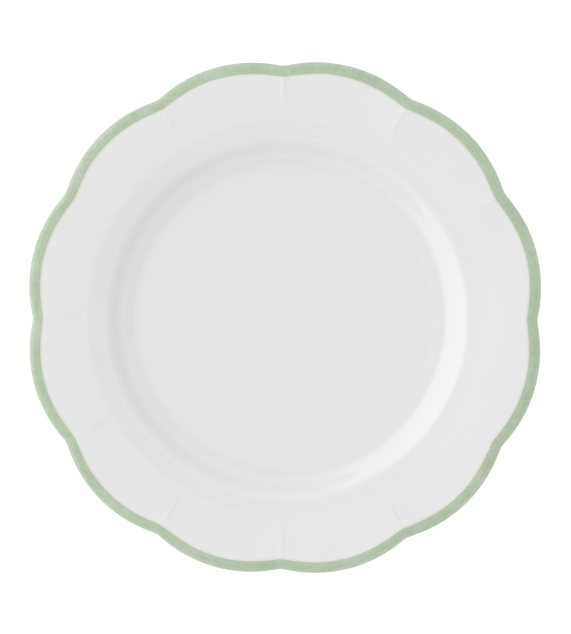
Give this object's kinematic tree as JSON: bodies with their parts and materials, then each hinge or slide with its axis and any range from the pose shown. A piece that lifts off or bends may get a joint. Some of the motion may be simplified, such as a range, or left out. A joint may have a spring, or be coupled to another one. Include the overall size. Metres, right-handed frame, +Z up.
{
  "type": "dinner plate",
  "caption": "Round porcelain dinner plate with a wide scalloped rim, a coloured edge band and a shallow well; holds food and stands on its foot ring.",
  "frame": {"origin": "centre of the plane that the foot ring stands on", "axes": "+Z up, along the plate's axis, out of the well; +X points at a notch between two lobes of the rim"},
  "size_m": [0.266, 0.2659, 0.0207],
  "materials": {
    "porcelain": "matte",
    "clear_glaze": "gloss",
    "sage_enamel": "gloss",
    "cream_enamel": "gloss"
  },
  "bodies": {
    "root": {"porcelain_body": "porcelain", "face_glaze": "clear_glaze", "underside_glaze": "clear_glaze", "base_glaze": "clear_glaze", "edge_band": "sage_enamel", "inner_line": "cream_enamel"}
  },
  "joints": []
}
